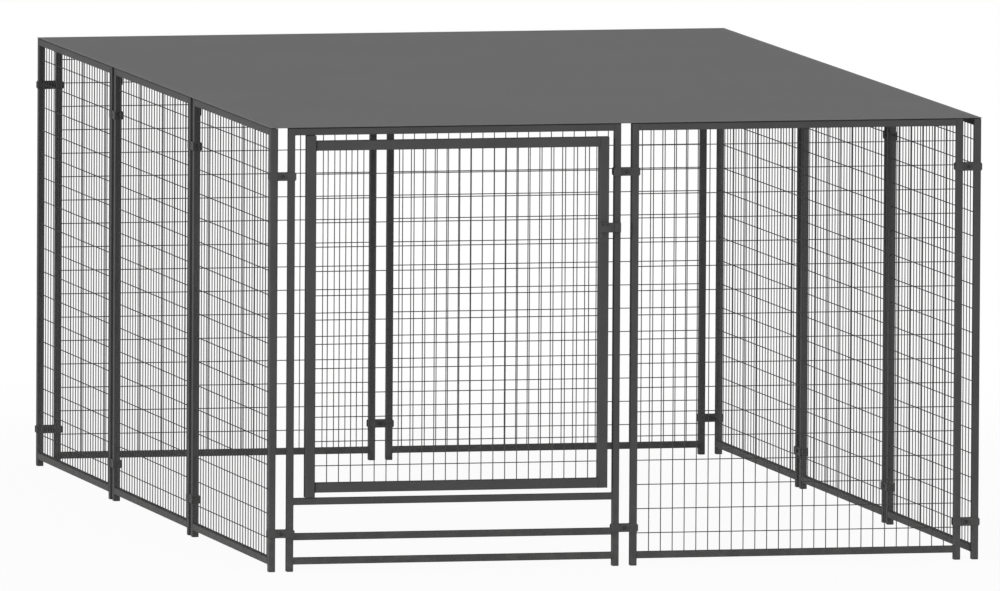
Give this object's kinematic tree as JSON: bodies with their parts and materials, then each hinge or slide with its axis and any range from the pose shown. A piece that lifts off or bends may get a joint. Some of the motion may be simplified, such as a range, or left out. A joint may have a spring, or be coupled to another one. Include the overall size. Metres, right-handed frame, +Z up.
{
  "type": "dog kennel run",
  "caption": "Free-standing rectangular dog run of framed welded-wire panels clamped post to post, with a hinged gate, a sliding latch and a flat fabric roof.",
  "frame": {"origin": "on the ground at the middle of the run", "axes": "+X to the right as seen by someone facing the gate side, +Y from the gate side to the back, +Z up"},
  "size_m": [3.008, 4.527, 1.8285],
  "materials": {
    "frame_coat": "satin",
    "wire_coat": "satin",
    "dark_zinc": "dull",
    "cap_plastic": "matte",
    "bush_nylon": "matte",
    "cover_fabric": "coated weave",
    "tape": "pile"
  },
  "bodies": {
    "run_frame": {"front_gate_posts": "frame_coat", "front_right_posts": "frame_coat", "back_left_posts": "frame_coat", "back_right_posts": "frame_coat", "left_front_posts": "frame_coat", "left_middle_posts": "frame_coat", "left_back_posts": "frame_coat", "right_front_posts": "frame_coat", "right_middle_posts": "frame_coat", "right_back_posts": "frame_coat", "front_gate_rails": "frame_coat", "front_right_rails": "frame_coat", "back_left_rails": "frame_coat", "back_right_rails": "frame_coat", "left_front_rails": "frame_coat", "left_middle_rails": "frame_coat", "left_back_rails": "frame_coat", "right_front_rails": "frame_coat", "right_middle_rails": "frame_coat", "right_back_rails": "frame_coat", "front_right_mesh": "wire_coat", "back_left_mesh": "wire_coat", "back_right_mesh": "wire_coat", "left_front_mesh": "wire_coat", "left_middle_mesh": "wire_coat", "left_back_mesh": "wire_coat", "right_front_mesh": "wire_coat", "right_middle_mesh": "wire_coat", "right_back_mesh": "wire_coat", "gate_hinge_bushes": "bush_nylon", "gate_stop": "frame_coat", "latch_keeper": "frame_coat", "clamp_outer_halves": "frame_coat", "clamp_inner_halves": "frame_coat", "clamp_bolts": "dark_zinc", "clamp_washers": "dark_zinc", "clamp_nuts": "dark_zinc", "foot_caps": "cap_plastic", "post_top_caps": "cap_plastic", "roof_cover": "cover_fabric", "roof_bars": "frame_coat", "roof_bar_hangers": "frame_coat", "roof_bar_screws": "dark_zinc", "cover_tapes": "tape"},
    "gate": {"gate_hinge_stile": "frame_coat", "gate_latch_stile": "frame_coat", "gate_top_rail": "frame_coat", "gate_bottom_rail": "frame_coat", "gate_mesh": "wire_coat", "gate_hinge_caps": "cap_plastic", "gate_hinge_pins": "dark_zinc", "gate_latch_stile_caps": "cap_plastic", "latch_housing": "frame_coat", "latch_screws": "dark_zinc"},
    "latch": {"latch_bolt": "dark_zinc", "latch_grip": "cap_plastic"}
  },
  "joints": [
    {"name": "gate_swing", "type": "hinge", "parent": "run_frame", "child": "gate", "pos_m": [-1.3275, -2.236, 1.0495], "axis": [0, 0, -1], "range_deg": [0, 140]},
    {"name": "latch_slide", "type": "slide", "parent": "gate", "child": "latch", "axis": [1, 0, 0], "range_m": [0, 0.026]}
  ]
}
